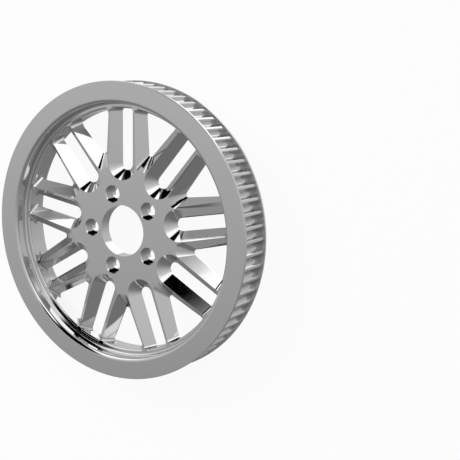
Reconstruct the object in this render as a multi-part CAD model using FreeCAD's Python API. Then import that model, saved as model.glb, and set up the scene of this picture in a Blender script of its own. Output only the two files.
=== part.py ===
import FreeCAD, Part
import math
import os

# Drive belt pulley, turned and milled from one aluminium billet.
# Its axis is Z, its front looks up, and it lies on the back face of its rim at Z = 0.
# Sizes are millimetres and degrees.

# Belt teeth
tooth_count = 72
belt_pitch = 14.0
pitch_line_height = 1.4     # pitch line above the tooth tips
groove_mouth = 11.0
groove_depth = 4.2
groove_bottom_radius = 4.8
groove_facets = 3           # flats that make up the round bottom
groove_start_angle = -0.9

# Rim
belt_width = 38.1
belt_clearance = 0.2        # each side of the belt
lip_width = 3.0
lip_height = 1.4
lip_edge_break = 0.5
rim_face_width = 19.0
rim_edge_round = 3.8
rim_edge_facets = 3         # flats that make up the rounded inner edge of the front
front_recess_depth = 14.8
ledge_cove = 2.2
ledge_width = 5.9
ledge_edge_break = 2.0
back_recess_depth = 11.0

# Hub and web
hub_face_depth = 14.8       # below the front face of the rim
web_thickness = 11.8
hub_boss_height = 1.8
hub_boss_radius = 56.0
bore_diameter = 55.88
bolt_count = 5
bolt_circle_diameter = 82.55
bolt_hole_diameter = 11.1
bolt_head_diameter = 19.05
bolt_head_depth = 8.0
bolt_start_angle = 36.0

# Paired spokes
spoke_pairs = 9
pair_start_angle = 10.0
flank_angle = 45.0
edge_land = 1.6             # upright wall left under each sloping flank
slot_width = 14.0
slot_end_radius = 72.2      # centre of the round inner end, from the axis
spoke_taper = 3.5
window_apex_radius = 56.3   # where the window sides would meet at the hub face
window_top_round = 8.6      # inner corner of a window at the hub face
window_low_round = 3.2      # and at the foot of the flanks
ring_corner_round = 4.0     # where spokes run into the ring
corner_facets = 3           # flats that make up such a corner

# Sizes that follow from those above
pitch_radius = tooth_count * belt_pitch / (2.0 * math.pi)
tip_radius = pitch_radius - pitch_line_height
lip_radius = tip_radius + lip_height
groove_radius = tip_radius - groove_depth
toothed_width = belt_width + 2.0 * belt_clearance
rim_width = toothed_width + 2.0 * lip_width
face_inner_radius = lip_radius - rim_face_width
recess_radius = face_inner_radius - rim_edge_round
ring_radius = recess_radius - ledge_width
web_radius = ring_radius + ledge_edge_break
hub_face_z = rim_width - hub_face_depth
web_back_z = hub_face_z - web_thickness
hub_back_z = web_back_z - hub_boss_height
flank_bottom_z = web_back_z + edge_land
flank_height = hub_face_z - flank_bottom_z
flank_slope = math.tan(math.radians(flank_angle))
flank_run = flank_height * flank_slope
window_half_angle = math.radians(180.0 / spoke_pairs + spoke_taper)
overcut = 1.0               # how far a cutter runs past the face that it cuts
axis = FreeCAD.Vector(0, 0, 1)
origin = FreeCAD.Vector(0, 0, 0)


def point(radius, z):
    return FreeCAD.Vector(radius, 0, z)


def polygon(points):
    return Part.Face(Part.makePolygon(points + points[:1]))


def arc_points(centre, radius, start, end, steps):
    # points (u, v) along an arc about a centre (u, v), angles in radians
    points = []
    for index in range(steps + 1):
        angle = start + (end - start) * index / steps
        points.append((centre[0] + radius * math.cos(angle), centre[1] + radius * math.sin(angle)))
    return points


def polar(shape, count, start_angle):
    copies = []
    for index in range(count):
        copy = shape.copy()
        copy.rotate(origin, axis, start_angle + index * 360.0 / count)
        copies.append(copy)
    return copies


def rim_blank():
    # half section of the rim: lips, rounded front edge, ledged recess, ring that carries the spokes
    front = rim_width
    ledge_z = front - front_recess_depth
    edge_centre = (face_inner_radius, front - rim_edge_round)
    rounded = arc_points(edge_centre, rim_edge_round, math.pi / 2.0, math.pi, rim_edge_facets)
    section = [
        (lip_radius, 0),
        (lip_radius, lip_width),
        (groove_radius - overcut, lip_width),
        (groove_radius - overcut, front - lip_width),
        (lip_radius, front - lip_width),
        (lip_radius, front - lip_edge_break),
        (lip_radius - lip_edge_break, front),
    ]
    section += rounded
    section += [
        (recess_radius, ledge_z + ledge_cove),
        (recess_radius - ledge_cove, ledge_z),
        (ring_radius + ledge_edge_break, ledge_z),
        (ring_radius, ledge_z - ledge_edge_break),
        (ring_radius, back_recess_depth),
        (recess_radius, back_recess_depth),
        (recess_radius, 0),
    ]
    return polygon([point(radius, z) for radius, z in section]).revolve(origin, axis, 360)


def groove_outline():
    # one belt groove about +X, from one side to the other: straight flanks and a round bottom
    half = groove_mouth / 2.0
    mouth = math.sqrt(tip_radius ** 2 - half ** 2)
    ball = groove_bottom_radius
    centre = groove_radius + ball
    reach = math.hypot(mouth - centre, half)
    touch = math.atan2(half, mouth - centre) + math.acos(ball / reach)
    bottom = arc_points((centre, 0), ball, 2.0 * math.pi - touch, touch, groove_facets)
    return [(mouth, -half)] + bottom + [(mouth, half)]


def toothed_band():
    corners = []
    for index in range(tooth_count):
        turn = math.radians(groove_start_angle) + 2.0 * math.pi * index / tooth_count
        for x, y in groove_outline():
            along = x * math.cos(turn) - y * math.sin(turn)
            across = x * math.sin(turn) + y * math.cos(turn)
            corners.append(FreeCAD.Vector(along, across, lip_width))
    band = polygon(corners).extrude(FreeCAD.Vector(0, 0, toothed_width))
    return band.cut(Part.makeCylinder(face_inner_radius, rim_width))


def web_blank():
    disc = Part.makeCylinder(web_radius, web_thickness, point(0, web_back_z))
    boss = Part.makeCylinder(hub_boss_radius, hub_boss_height, point(0, hub_back_z))
    return disc.fuse(boss)


def ring_corner(distance, lean, end_angle):
    # round corner between one side of an opening and the ring, then on into the ring
    radius = ring_corner_round
    across = distance - radius
    along = math.sqrt((ring_radius - radius) ** 2 - across ** 2)
    corner = arc_points((along, across), radius, math.pi / 2.0, end_angle, corner_facets)
    beyond = 3.0 * ledge_edge_break
    last = corner[-1]
    corner.append((last[0] + beyond * math.cos(end_angle), last[1] + beyond * math.sin(end_angle)))
    side = math.cos(lean), math.sin(lean)
    return [(x * side[0] - y * side[1], x * side[1] + y * side[0]) for x, y in corner]


def mirrored(half, z):
    # closed outline from its half on the +Y side
    other = [(x, -y) for x, y in reversed(half) if abs(y) > 1e-6]
    return [FreeCAD.Vector(x, y, z) for x, y in half + other]


def slot_outline(rise):
    # straight part of a slot along +X, at a height above the foot of its flanks
    spread = slot_width / 2.0 + rise * flank_slope
    half = [(slot_end_radius, spread)] + ring_corner(spread, 0.0, 0.0)
    return mirrored(half, flank_bottom_z + rise)


def slot_cutter():
    # slot between the two spokes of a pair: upright walls, sloping flanks, round inner end
    half = slot_width / 2.0
    rise = flank_height + overcut
    depth = web_thickness + 2.0 * overcut
    low = web_back_z - overcut
    foot = slot_outline(0.0)
    walls = polygon(foot).extrude(FreeCAD.Vector(0, 0, low - flank_bottom_z))
    flanks = tapered_block(foot, slot_outline(rise))
    round_end = Part.makeCylinder(half, depth, point(slot_end_radius, low))
    bite = Part.makeCone(half, half + rise * flank_slope, rise, point(slot_end_radius, flank_bottom_z))
    return walls.multiFuse([round_end, flanks, bite])


def window_outline(rise):
    # window along +X between two pairs, at a height above the foot of its flanks
    share = rise / flank_height
    inset = flank_run - rise * flank_slope
    apex = window_apex_radius + inset / math.sin(window_half_angle)
    radius = window_low_round + share * (window_top_round - window_low_round)
    middle = apex + radius / math.sin(window_half_angle)
    inner = arc_points((middle, 0), radius, math.pi, math.pi / 2.0 + window_half_angle, corner_facets)
    distance = -apex * math.sin(window_half_angle)
    half = inner + ring_corner(distance, window_half_angle, -window_half_angle * 0.6)
    return mirrored(half, flank_bottom_z + rise)


def tapered_block(low, high):
    # flat-sided solid between two outlines that have the same number of corners
    faces = [polygon(low), polygon(high)]
    for index in range(len(low)):
        after = (index + 1) % len(low)
        faces.append(polygon([low[index], low[after], high[after], high[index]]))
    return Part.Solid(Part.Shell(faces))


def window_cutter():
    # upright walls, sloping flanks and corners that are round all the way down
    foot = window_outline(0.0)
    walls = polygon(foot).extrude(FreeCAD.Vector(0, 0, web_back_z - overcut - flank_bottom_z))
    flanks = tapered_block(foot, window_outline(flank_height + overcut))
    return walls.fuse(flanks)


def bolt_hole():
    radius = bolt_circle_diameter / 2.0
    through = Part.makeCylinder(
        bolt_hole_diameter / 2.0,
        hub_face_z - hub_back_z + 2.0 * overcut,
        point(radius, hub_back_z - overcut),
    )
    seat = Part.makeCylinder(
        bolt_head_diameter / 2.0,
        bolt_head_depth + overcut,
        point(radius, hub_face_z - bolt_head_depth),
    )
    return through.fuse(seat)


def centre_bore():
    length = hub_face_z - hub_back_z + 2.0 * overcut
    return Part.makeCylinder(bore_diameter / 2.0, length, point(0, hub_back_z - overcut))


def belt_pulley():
    reach = Part.makeCylinder(web_radius, rim_width)
    slots = polar(slot_cutter().common(reach), spoke_pairs, pair_start_angle)
    windows = polar(window_cutter().common(reach), spoke_pairs, pair_start_angle + 180.0 / spoke_pairs)
    holes = polar(bolt_hole(), bolt_count, bolt_start_angle)
    web = web_blank().cut(slots + windows + holes + [centre_bore()])
    return rim_blank().multiFuse([toothed_band(), web]).removeSplitter().Solids[0]


pulley = belt_pulley()
os.makedirs("parts", exist_ok=True)
pulley.exportStep("parts/belt_pulley.step")
print("belt_pulley", pulley.ShapeType, "valid", pulley.isValid(), "faces", len(pulley.Faces))
print("volume", round(pulley.Volume, 1), "box", pulley.BoundBox)
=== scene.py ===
import bpy
from math import acos, atan2, cos, hypot, pi, radians, sin, sqrt, tan
from mathutils import Matrix, Vector


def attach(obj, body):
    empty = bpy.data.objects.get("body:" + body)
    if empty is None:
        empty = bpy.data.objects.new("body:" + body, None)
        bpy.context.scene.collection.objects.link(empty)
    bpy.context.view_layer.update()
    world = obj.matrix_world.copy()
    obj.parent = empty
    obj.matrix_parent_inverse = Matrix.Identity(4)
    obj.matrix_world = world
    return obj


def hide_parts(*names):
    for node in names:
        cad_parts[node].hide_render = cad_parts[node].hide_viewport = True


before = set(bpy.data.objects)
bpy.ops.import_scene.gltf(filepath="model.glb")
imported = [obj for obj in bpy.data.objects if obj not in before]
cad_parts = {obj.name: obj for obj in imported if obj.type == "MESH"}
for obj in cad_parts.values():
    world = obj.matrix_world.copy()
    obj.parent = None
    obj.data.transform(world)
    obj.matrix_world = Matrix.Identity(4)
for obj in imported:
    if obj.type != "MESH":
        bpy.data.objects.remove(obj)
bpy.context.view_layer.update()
print("frame loaded", list(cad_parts))

mm = 0.001
near = 0.01  # millimetres, closer than this is the same place


# modelling helpers, sizes in millimetres

def pickNone():
    if bpy.context.object and bpy.context.object.mode != "OBJECT":
        bpy.ops.object.mode_set(mode="OBJECT")
    bpy.ops.object.select_all(action="DESELECT")


def pickOnly(obj):
    pickNone()
    obj.select_set(True)
    bpy.context.view_layer.objects.active = obj


def editAll(obj):
    pickOnly(obj)
    bpy.ops.object.mode_set(mode="EDIT")
    bpy.ops.mesh.select_all(action="SELECT")


def arcCorners(x, y, radius, start, end, steps):
    angles = [start + (end - start) * step / steps for step in range(steps + 1)]
    return [(x + radius * cos(angle), y + radius * sin(angle)) for angle in angles]


def drawOutline(name, corners):
    # one point pulled out from corner to corner, then closed with a face
    pickNone()
    bpy.ops.mesh.primitive_plane_add(size=mm, location=(0, 0, 0))
    obj = bpy.context.object
    obj.name = name
    bpy.ops.object.mode_set(mode="EDIT")
    bpy.ops.mesh.select_mode(type="VERT")
    bpy.ops.mesh.select_all(action="SELECT")
    bpy.ops.mesh.merge(type="CENTER")
    here = Vector(corners[0]) * mm
    bpy.ops.transform.translate(value=here)
    for corner in corners[1:]:
        there = Vector(corner) * mm
        bpy.ops.mesh.extrude_region_move(TRANSFORM_OT_translate={"value": there - here})
        here = there
    bpy.ops.mesh.select_all(action="SELECT")
    bpy.ops.mesh.edge_face_add()
    return obj


def faceOutwards(obj):
    editAll(obj)
    bpy.ops.mesh.normals_make_consistent(inside=False)
    bpy.ops.object.mode_set(mode="OBJECT")


def drawBlock(name, corners, pull):
    obj = drawOutline(name, corners)
    bpy.ops.mesh.extrude_region_move(TRANSFORM_OT_translate={"value": Vector(pull) * mm})
    faceOutwards(obj)
    return obj


def drawTaper(name, low, high, drop):
    # solid between two outlines with as many corners each, and straight walls below the lower one
    top = drawOutline(name + "Top", high)
    obj = drawOutline(name, low)
    pickOnly(obj)
    top.select_set(True)
    bpy.ops.object.join()
    bpy.ops.object.mode_set(mode="EDIT")
    bpy.ops.mesh.select_mode(type="EDGE")
    bpy.ops.mesh.select_all(action="SELECT")
    bpy.ops.mesh.delete(type="ONLY_FACE")
    bpy.ops.mesh.select_all(action="SELECT")
    bpy.ops.mesh.bridge_edge_loops()
    bpy.ops.mesh.select_all(action="SELECT")
    bpy.ops.mesh.fill_holes(sides=0)
    faceOutwards(obj)
    # the face at the lower outline goes down by the drop
    bpy.ops.object.mode_set(mode="EDIT")
    bpy.ops.mesh.select_mode(type="FACE")
    bpy.ops.mesh.select_all(action="DESELECT")
    bpy.ops.object.mode_set(mode="OBJECT")
    for face in obj.data.polygons:
        face.select = abs(face.center.z - low[0][2] * mm) < near * mm
    bpy.ops.object.mode_set(mode="EDIT")
    bpy.ops.mesh.extrude_region_move(TRANSFORM_OT_translate={"value": (0, 0, -drop * mm)})
    faceOutwards(obj)
    return obj


def addDrum(name, radius, low, high, x, sides):
    pickNone()
    bpy.ops.mesh.primitive_cylinder_add(
        vertices=sides, radius=radius * mm, depth=(high - low) * mm,
        location=(x * mm, 0, (low + high) / 2 * mm))
    obj = bpy.context.object
    obj.name = name
    bpy.ops.object.transform_apply(location=True, rotation=True, scale=True)
    return obj


def repeatRound(obj, count, startAngle):
    # turn a cutter to its first place and copy it around the axis
    pickOnly(obj)
    obj.rotation_euler[2] = radians(startAngle)
    bpy.ops.object.transform_apply(location=True, rotation=True, scale=True)
    editAll(obj)
    bpy.ops.mesh.spin(steps=count - 1, dupli=True, angle=2 * pi * (count - 1) / count,
                      center=(0, 0, 0), axis=(0, 0, 1))
    bpy.ops.object.mode_set(mode="OBJECT")
    return obj


def combine(body, tool, operation):
    pickOnly(body)
    mod = body.modifiers.new("combine", "BOOLEAN")
    mod.operation = operation
    mod.solver = "EXACT"
    mod.object = tool
    bpy.ops.object.modifier_apply(modifier=mod.name)
    bpy.data.objects.remove(tool, do_unlink=True)


# rim and belt teeth

rim = {
    "teeth": 72,
    "pitch": 14.0,
    "pitchLine": 1.4,  # above the tooth tips
    "grooveMouth": 11.0,
    "grooveDepth": 4.2,
    "grooveRound": 4.8,
    "grooveStart": -0.9,
    "tipRound": 1.3,
    "bandWidth": 38.5,
    "lipWidth": 3.0,
    "lipHeight": 1.4,
    "lipEdge": 0.5,
    "faceWidth": 19.0,
    "edgeRound": 3.8,
    "recess": 14.8,
    "cove": 2.2,
    "ledge": 5.9,
    "ledgeEdge": 2.0,
    "backRecess": 11.0,
    "overcut": 1.0,  # how far the groove cutter runs past the lips
    "weld": 0.001,
    "turnSteps": 288,
    "edgeSteps": 10,
    "coveSteps": 6,
    "lipSteps": 3,
    "tipSteps": 5,
    "grooveSteps": 14,
}
tipRadius = rim["teeth"] * rim["pitch"] / (2 * pi) - rim["pitchLine"]
lipRadius = tipRadius + rim["lipHeight"]
rimWidth = rim["bandWidth"] + 2 * rim["lipWidth"]
faceRadius = lipRadius - rim["faceWidth"]
recessRadius = faceRadius - rim["edgeRound"]
ringRadius = recessRadius - rim["ledge"]


def roundCorner(obj, place, radius, steps):
    # round one corner of a flat section, found by its radius and height
    bpy.ops.object.mode_set(mode="OBJECT")
    for vert in obj.data.vertices:
        vert.select = hypot(vert.co.x / mm - place[0], vert.co.z / mm - place[1]) < near
    for edge in obj.data.edges:
        edge.select = False
    for face in obj.data.polygons:
        face.select = False
    bpy.ops.object.mode_set(mode="EDIT")
    bpy.ops.mesh.select_mode(type="VERT")
    bpy.ops.mesh.bevel(offset=radius * mm, segments=steps, affect="VERTICES")


def makeRim():
    top = rimWidth
    ledgeZ = top - rim["recess"]
    section = [
        (lipRadius, 0), (lipRadius, rim["lipWidth"]), (tipRadius, rim["lipWidth"]),
        (tipRadius, top - rim["lipWidth"]), (lipRadius, top - rim["lipWidth"]), (lipRadius, top),
        (recessRadius, top), (recessRadius, ledgeZ), (ringRadius, ledgeZ),
        (ringRadius, rim["backRecess"]), (recessRadius, rim["backRecess"]), (recessRadius, 0),
    ]
    obj = drawOutline("rimBlank", [(radius, 0, z) for radius, z in section])
    roundCorner(obj, (lipRadius, top), rim["lipEdge"], rim["lipSteps"])
    roundCorner(obj, (lipRadius, 0), rim["lipEdge"], rim["lipSteps"])
    roundCorner(obj, (recessRadius, top), rim["edgeRound"], rim["edgeSteps"])
    roundCorner(obj, (recessRadius, ledgeZ), rim["cove"], rim["coveSteps"])
    roundCorner(obj, (ringRadius, ledgeZ), rim["ledgeEdge"], rim["coveSteps"])
    roundCorner(obj, (recessRadius, 0), rim["lipEdge"], rim["lipSteps"])
    bpy.ops.mesh.select_all(action="SELECT")
    bpy.ops.mesh.delete(type="ONLY_FACE")
    bpy.ops.mesh.select_all(action="SELECT")
    bpy.ops.mesh.spin(steps=rim["turnSteps"], angle=2 * pi, center=(0, 0, 0), axis=(0, 0, 1))
    bpy.ops.mesh.select_all(action="SELECT")
    bpy.ops.mesh.remove_doubles(threshold=rim["weld"] * mm)
    faceOutwards(obj)
    return obj


def grooveCorners():
    # rounded tips, straight flanks and a round bottom
    half = rim["grooveMouth"] / 2
    ball = rim["grooveRound"]
    tip = rim["tipRound"]
    mouth = sqrt(tipRadius ** 2 - half ** 2)
    middle = tipRadius - rim["grooveDepth"] + ball
    touch = atan2(half, mouth - middle) + acos(ball / hypot(mouth - middle, half))
    flank = Vector((middle + ball * cos(touch), ball * sin(touch))) - Vector((mouth, half))
    flank.normalize()
    tipY = half - tip * (1 + cos(touch)) * flank.y / flank.x + tip * sin(touch)
    side = [(lipRadius + rim["overcut"], tipY)]
    side += arcCorners(mouth - tip, tipY, tip, 0, touch - pi, rim["tipSteps"])
    bottom = arcCorners(middle, 0, ball, touch, 2 * pi - touch, rim["grooveSteps"])
    return side + bottom + [(x, -y) for x, y in reversed(side)]


def cutTeeth(body):
    corners = [(x, y, rim["lipWidth"]) for x, y in grooveCorners()]
    groove = drawBlock("groove", corners, (0, 0, rim["bandWidth"]))
    combine(body, repeatRound(groove, rim["teeth"], rim["grooveStart"]), "DIFFERENCE")


# hub, web and paired spokes

web = {
    "faceDepth": 14.8,  # hub face below the front of the rim
    "thickness": 11.8,
    "bossHeight": 1.8,
    "bossRadius": 56.0,
    "bore": 55.88,
    "bolts": 5,
    "boltCircle": 82.55,
    "boltHole": 11.1,
    "boltHead": 19.05,
    "headDepth": 8.0,
    "boltStart": 36.0,
    "pairs": 9,
    "pairStart": 10.0,
    "flankAngle": 45.0,
    "land": 1.6,  # upright wall under a sloping flank
    "slot": 14.0,
    "slotEnd": 72.2,
    "taper": 3.5,
    "windowApex": 56.3,
    "windowTopRound": 8.6,
    "windowLowRound": 3.2,
    "windowTurn": 0.6,  # where its corner at the ring ends, as a share of the half angle
    "ringRound": 4.0,
    "intoRing": 6.0,
    "overcut": 1.0,
    "discSteps": 144,
    "holeSteps": 72,
    "boreSteps": 160,
    "slotSteps": 24,
    "windowSteps": 12,
    "ringSteps": 8,
}
webRadius = ringRadius + rim["ledgeEdge"]
hubZ = rimWidth - web["faceDepth"]
webBackZ = hubZ - web["thickness"]
hubBackZ = webBackZ - web["bossHeight"]
flankZ = webBackZ + web["land"]
slope = tan(radians(web["flankAngle"]))
halfAngle = radians(180 / web["pairs"] + web["taper"])


def ringCorner(distance, lean, endAngle):
    # round corner between one side of an opening and the ring, then on into the ring
    radius = web["ringRound"]
    across = distance - radius
    along = sqrt((ringRadius - radius) ** 2 - across ** 2)
    corner = arcCorners(along, across, radius, pi / 2, endAngle, web["ringSteps"])
    x, y = corner[-1]
    corner.append((x + web["intoRing"] * cos(endAngle), y + web["intoRing"] * sin(endAngle)))
    return [(x * cos(lean) - y * sin(lean), x * sin(lean) + y * cos(lean)) for x, y in corner]


def mirrored(half, z):
    # closed outline from its half on the +Y side, which starts on the X axis
    return [(x, y, z) for x, y in half + [(x, -y) for x, y in reversed(half[1:])]]


def slotOutline(z):
    # slot along +X with a round inner end
    spread = web["slot"] / 2 + (z - flankZ) * slope
    half = arcCorners(web["slotEnd"], 0, spread, pi, pi / 2, web["slotSteps"])
    return mirrored(half + ringCorner(spread, 0, 0), z)


def windowOutline(z):
    # window along +X between two pairs, round at its inner corner
    share = (z - flankZ) / (hubZ - flankZ)
    apex = web["windowApex"] + (hubZ - z) * slope / sin(halfAngle)
    radius = web["windowLowRound"] + share * (web["windowTopRound"] - web["windowLowRound"])
    middle = apex + radius / sin(halfAngle)
    half = arcCorners(middle, 0, radius, pi, pi / 2 + halfAngle, web["windowSteps"])
    half += ringCorner(-apex * sin(halfAngle), halfAngle, -web["windowTurn"] * halfAngle)
    return mirrored(half, z)


def cutOpenings(body):
    topZ = hubZ + web["overcut"]
    drop = web["land"] + web["overcut"]
    start = web["pairStart"]
    openings = [
        ("slot", slotOutline, start),
        ("window", windowOutline, start + 180 / web["pairs"]),
    ]
    for name, outline, turn in openings:
        tool = drawTaper(name, outline(flankZ), outline(topZ), drop)
        combine(body, repeatRound(tool, web["pairs"], turn), "DIFFERENCE")


def makeWeb():
    low = hubBackZ - web["overcut"]
    high = hubZ + web["overcut"]
    bossTop = webBackZ + web["overcut"]
    obj = addDrum("webBlank", webRadius, webBackZ, hubZ, 0, web["discSteps"])
    boss = addDrum("boss", web["bossRadius"], hubBackZ, bossTop, 0, web["discSteps"])
    combine(obj, boss, "UNION")
    cutOpenings(obj)
    holes = [(web["boltHole"] / 2, low), (web["boltHead"] / 2, hubZ - web["headDepth"])]
    for radius, bottom in holes:
        hole = addDrum("boltHole", radius, bottom, high, web["boltCircle"] / 2, web["holeSteps"])
        combine(obj, repeatRound(hole, web["bolts"], web["boltStart"]), "DIFFERENCE")
    bore = addDrum("bore", web["bore"] / 2, low, high, 0, web["boreSteps"])
    combine(obj, bore, "DIFFERENCE")
    return obj


finish = {
    "tint": (0.63, 0.63, 0.638, 1.0),
    "roughness": 0.035,
    # painted shade: a darker chrome tint for the belt grooves
    "groovePaintedShade": (0.52, 0.52, 0.527, 1.0),
    "grooveRough": 0.04,
    # where the painted groove shade and the extra roughness begin and are full
    "grooveShadeAndRough": (0.2, 2.2),  # below the tooth tips, where that begins and is full
    "lipRough": 0.40,
    "lipReach": 0.05,
    "smudge": 0.05,
    "smudgeScale": 28.0,
    "smudgeDetail": 5.0,
    "smudgeGrain": 0.6,
    "smudgeRange": (0.45, 0.75),
    "ripple": 0.02,
    "rippleScale": 90.0,
    "rippleDetail": 1.0,
    "rippleHeight": 0.5,
    "weld": 0.002,
    "smoothAngle": 32,
    "evenWeight": 50,
}


def makePulley():
    obj = makeRim()
    print("rim turned", len(obj.data.polygons))
    cutTeeth(obj)
    print("belt teeth cut", len(obj.data.polygons))
    spokes = makeWeb()
    print("web milled", len(spokes.data.polygons))
    combine(obj, spokes, "UNION")
    editAll(obj)
    bpy.ops.mesh.remove_doubles(threshold=finish["weld"] * mm)
    bpy.ops.object.mode_set(mode="OBJECT")
    bpy.ops.object.shade_smooth_by_angle(angle=radians(finish["smoothAngle"]))
    even = obj.modifiers.new("evenShading", "WEIGHTED_NORMAL")
    even.keep_sharp = True
    even.weight = finish["evenWeight"]
    bpy.ops.object.modifier_apply(modifier=even.name)
    obj.name = "pulley"
    obj.data.name = "pulley"
    print("pulley joined", len(obj.data.polygons), "faces")
    return obj


# shader helpers

def addNode(tree, kind, links, **settings):
    # links: input name or number -> a socket to read from, or a plain value
    node = tree.nodes.new("ShaderNode" + kind)
    for name, value in settings.items():
        setattr(node, name, value)
    for name, value in links.items():
        if isinstance(value, bpy.types.NodeSocket):
            tree.links.new(value, node.inputs[name])
        else:
            node.inputs[name].default_value = value
    return node


def addMath(tree, operation, *values, clamp=False):
    node = addNode(tree, "Math", dict(enumerate(values)), operation=operation, use_clamp=clamp)
    return node.outputs[0]


def addRange(tree, value, start, end, low=0.0, high=1.0, blend="LINEAR"):
    # low where the value is at the start, high where it is at the end
    links = {"Value": value, "From Min": start, "From Max": end, "To Min": low, "To Max": high}
    return addNode(tree, "MapRange", links, interpolation_type=blend).outputs["Result"]


def addMix(tree, share, first, second):
    return addNode(tree, "Mix", {0: share, 6: first, 7: second}, data_type="RGBA").outputs[2]


def chromeMaterial():
    mat = bpy.data.materials.new("brightPlating")
    mat.use_nodes = True
    tree = mat.node_tree
    shader = tree.nodes["Principled BSDF"]
    shader.inputs["Metallic"].default_value = 1.0
    place = tree.nodes.new("ShaderNodeTexCoord").outputs["Object"]
    split = addNode(tree, "SeparateXYZ", {0: place}).outputs
    flat = addNode(tree, "CombineXYZ", {0: split["X"], 1: split["Y"]})
    radius = addNode(tree, "VectorMath", {0: flat.outputs[0]}, operation="LENGTH").outputs["Value"]
    # painted shade: a darker tint down in the belt grooves, which are also a little rougher there
    start, full = [(tipRadius - depth) * mm for depth in finish["grooveShadeAndRough"]]
    deep = addRange(tree, radius, start, full, blend="SMOOTHSTEP")
    middle = rimWidth / 2 * mm
    half = rim["bandWidth"] / 2
    height = addMath(tree, "COMPARE", split["Z"], middle, (half + finish["lipReach"]) * mm)
    outer = addMath(tree, "GREATER_THAN", radius, faceRadius * mm)
    inBand = addMath(tree, "MULTIPLY", outer, height)
    groove = addMath(tree, "MULTIPLY", deep, inBand)
    # plain chrome tint, with painted shade mixed in down the grooves
    tint = addMix(tree, groove, finish["tint"], finish["groovePaintedShade"])
    tree.links.new(tint, shader.inputs["Base Color"])
    # faint wiping marks
    smudge = addNode(tree, "TexNoise", {
        "Vector": place, "Scale": finish["smudgeScale"],
        "Detail": finish["smudgeDetail"], "Roughness": finish["smudgeGrain"],
    })
    clean = finish["roughness"]
    wiped = clean + finish["smudge"]
    marks = addRange(tree, smudge.outputs["Fac"], *finish["smudgeRange"], clean, wiped)
    rough = addMath(tree, "MULTIPLY_ADD", groove, finish["grooveRough"], marks)
    # the walls of the lips stay as turned
    between = addMath(tree, "COMPARE", split["Z"], middle, (half - finish["lipReach"]) * mm)
    lipWall = addMath(tree, "SUBTRACT", inBand, between, clamp=True)
    turned = addMath(tree, "MULTIPLY_ADD", lipWall, finish["lipRough"], rough)
    tree.links.new(turned, shader.inputs["Roughness"])
    # slight waviness of a polished face
    wave = addNode(tree, "TexNoise", {
        "Vector": place, "Scale": finish["rippleScale"], "Detail": finish["rippleDetail"],
    })
    bump = addNode(tree, "Bump", {
        "Height": wave.outputs["Fac"], "Strength": finish["ripple"],
        "Distance": finish["rippleHeight"] * mm,
    })
    tree.links.new(bump.outputs[0], shader.inputs["Normal"])
    return mat


pulley = makePulley()
pulley.data.materials.clear()
pulley.data.materials.append(chromeMaterial())
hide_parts("belt_pulley")
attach(pulley, "root")


# studio: camera, floor, surround and lamp, in metres

view = {
    "place": (0.58208, 0.17224, 0.81509),
    "right": (0.86709, 0.01689, -0.49786),
    "up": (-0.09999, 0.98499, -0.14072),
    "back": (0.48801, 0.17180, 0.85576),
    "lens": 71.41,
    "sensor": 36.0,
}


def addCamera():
    data = bpy.data.cameras.new("camera")
    data.lens = view["lens"]
    data.sensor_width = view["sensor"]
    data.sensor_fit = "HORIZONTAL"
    cam = bpy.data.objects.new("camera", data)
    bpy.context.collection.objects.link(cam)
    turn = Matrix([view["right"], view["up"], view["back"]]).transposed()
    cam.matrix_world = Matrix.Translation(view["place"]) @ turn.to_4x4()
    bpy.context.scene.camera = cam


studio = {
    "floorSize": 12.0,
    "floorColour": (0.9, 0.9, 0.9, 1.0),
    "floorGlow": 1.0,
    "whiteToCamera": 0.93,
    "whiteToMirror": 0.93,
    "clearToMirror": 0.75,
    "key": 30.0,
    "keyPlace": (-1.5, 1.3, 1.4),
    "keySize": 0.9,
}


def addFloor():
    pickNone()
    bpy.ops.mesh.primitive_plane_add(size=studio["floorSize"], location=(0, 0, 0))
    floor = bpy.context.object
    floor.name = "floor"
    mat = bpy.data.materials.new("paleFloor")
    mat.use_nodes = True
    tree = mat.node_tree
    tree.nodes.clear()
    matt = addNode(tree, "BsdfDiffuse", {"Color": studio["floorColour"]})
    glow = addNode(tree, "Emission", {"Strength": studio["floorGlow"]})
    path = tree.nodes.new("ShaderNodeLightPath").outputs
    # the camera and mirror-like faces see white, with a little of the shadow in it
    direct = addMath(tree, "MULTIPLY", path["Is Camera Ray"], studio["whiteToCamera"])
    mirror = addMath(tree, "MAXIMUM", path["Is Glossy Ray"], path["Is Transmission Ray"])
    share = addMath(tree, "MULTIPLY_ADD", mirror, studio["whiteToMirror"], direct)
    mix = addNode(tree, "MixShader", {0: share, 1: matt.outputs[0], 2: glow.outputs[0]})
    # mirror-like faces also look through it to the darker room below
    through = addMath(tree, "MULTIPLY", mirror, studio["clearToMirror"])
    clear = tree.nodes.new("ShaderNodeBsdfTransparent")
    surface = addNode(tree, "MixShader", {0: through, 1: mix.outputs[0], 2: clear.outputs[0]})
    addNode(tree, "OutputMaterial", {"Surface": surface.outputs[0]})
    floor.data.materials.append(mat)


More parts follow.
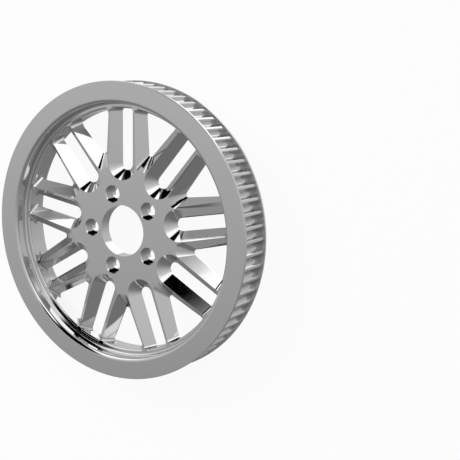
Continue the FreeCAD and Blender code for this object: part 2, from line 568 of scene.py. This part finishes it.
# directions run from -1 to 1 along each axis, and pairs say where a change begins and is full
surround = {
    "greys": [  # from the side below the picture (-Y) to the side above it, and how light it is
        (-1.0, 0.21), (-0.78, 0.23), (-0.55, 0.30), (-0.42, 0.37), (-0.25, 0.50), (-0.05, 0.62),
        (0.15, 0.71), (0.35, 0.82), (0.52, 1.0), (0.64, 1.5), (0.72, 1.65), (1.0, 1.65),
    ],
    "greysBelow": [  # the same below the level of the floor
        (-1.0, 0.0), (-0.6, 0.045), (-0.45, 0.125), (-0.3, 0.27), (-0.1, 0.475), (0.1, 0.625),
        (0.3, 0.735), (0.44, 0.71), (0.51, 1.9), (1.0, 1.9),
    ],
    "level": (-0.05, 0.0),
    "levelGrey": 0.38,  # how much of the light below is left towards the level of the floor
    "levelFade": (-0.80, -0.55),
    "screenNormal": (0.874, -0.242, 0.421),  # a dark screen stands across the bright side
    "screenLeft": (-0.08, -0.38),  # at the middle and at the far end
    "screenLeftSoft": (-0.06, 0.06),
    "screenRight": [
        (0.0, 0.11), (0.1, 0.15), (0.2, 0.24), (0.3, 0.33), (0.42, 0.34), (0.5, 0.40),
        (0.56, 0.46), (0.62, 0.39), (0.7, 0.25), (0.8, 0.173), (0.9, 0.152), (1.0, 0.135),
    ],
    "screenRightSoft": (-0.01, 0.06),
    "screenRightPower": 0.4,  # below 1, so it darkens at once and then slowly
    "screenEnd": (0.06, 0.16),
    "corner": [("X", 0.30, 0.50), ("Y", 0.15, 0.40), ("Z", -0.80, -0.68), ("Z", 0.40, 0.15)],
    "cornerDark": 0.7,
    "black": (0.0, 0.0, 0.0, 1.0),
    "white": (0.97, 0.97, 0.97, 1.0),
}


def addGreys(tree, share, greys):
    ramp = addNode(tree, "ValToRGB", {"Fac": share})
    stops = ramp.color_ramp.elements
    while len(stops) < len(greys):
        stops.new(0.5)
    for stop, (height, grey) in zip(stops, greys):
        stop.position = (height + 1) / 2
        stop.color = (grey, grey, grey, 1)
    return ramp.outputs["Color"]


def addScreen(tree, where, y, side):
    # black between two edges, on the bright side and above the floor
    links = {0: where, 1: surround["screenNormal"]}
    across = addNode(tree, "VectorMath", links, operation="DOT_PRODUCT").outputs["Value"]
    left = addRange(tree, y, 0.0, 1.0, *surround["screenLeft"])
    right = addNode(tree, "FloatCurve", {"Value": y})
    curve = right.mapping.curves[0]
    for height, edge in surround["screenRight"][1:-1]:
        curve.points.new(height, edge)
    curve.points[0].location = surround["screenRight"][0]
    curve.points[-1].location = surround["screenRight"][-1]
    right.mapping.update()
    pastLeft = addMath(tree, "SUBTRACT", across, left)
    pastRight = addMath(tree, "SUBTRACT", right.outputs[0], across)
    leftEdge = addRange(tree, pastLeft, *surround["screenLeftSoft"], blend="SMOOTHSTEP")
    intoRight = addRange(tree, pastRight, *surround["screenRightSoft"])
    rightEdge = addMath(tree, "POWER", intoRight, surround["screenRightPower"])
    screen = addMath(tree, "MULTIPLY", leftEdge, rightEdge)
    reach = addRange(tree, y, *surround["screenEnd"], blend="SMOOTHSTEP")
    standing = addMath(tree, "MULTIPLY", reach, side)
    return addMath(tree, "MULTIPLY", screen, standing)


def addCorner(tree, split):
    # a darker corner of the room, low down beyond the right side
    shade = surround["cornerDark"]
    for along, start, full in surround["corner"]:
        part = addRange(tree, split[along], start, full, blend="SMOOTHSTEP")
        shade = addMath(tree, "MULTIPLY", shade, part)
    return shade


def addSurround():
    world = bpy.data.worlds.new("softStudio")
    bpy.context.scene.world = world
    world.use_nodes = True
    tree = world.node_tree
    ground = tree.nodes["Background"]
    where = tree.nodes.new("ShaderNodeTexCoord").outputs["Generated"]
    split = addNode(tree, "SeparateXYZ", {0: where}).outputs
    share = addRange(tree, split["Y"], -1.0, 1.0)
    above = addGreys(tree, share, surround["greys"])
    below = addGreys(tree, share, surround["greysBelow"])
    fade = addRange(tree, split["Z"], *surround["levelFade"], 1.0, surround["levelGrey"])
    faded = addNode(tree, "VectorMath", {0: below, "Scale": fade}, operation="SCALE")
    side = addRange(tree, split["Z"], *surround["level"])
    room = addMix(tree, side, faded.outputs["Vector"], above)
    screen = addScreen(tree, where, split["Y"], side)
    dark = addMath(tree, "MAXIMUM", screen, addCorner(tree, split))
    dome = addMix(tree, dark, room, surround["black"])
    # beyond the floor's edge the camera sees white
    path = tree.nodes.new("ShaderNodeLightPath").outputs
    seen = addMix(tree, path["Is Camera Ray"], dome, surround["white"])
    tree.links.new(seen, ground.inputs["Color"])


def addKeyLight():
    # only casts the floor's shadow, mirror-like faces don't see it
    data = bpy.data.lights.new("softKey", "AREA")
    data.energy = studio["key"]
    data.size = studio["keySize"]
    lamp = bpy.data.objects.new("softKey", data)
    bpy.context.collection.objects.link(lamp)
    lamp.location = studio["keyPlace"]
    lamp.rotation_euler = (Vector((0, 0, 0)) - lamp.location).to_track_quat("-Z", "Y").to_euler()
    lamp.visible_glossy = False


addCamera()
addFloor()
addSurround()
addKeyLight()
bpy.context.scene.view_settings.view_transform = "Standard"
print("studio ready")
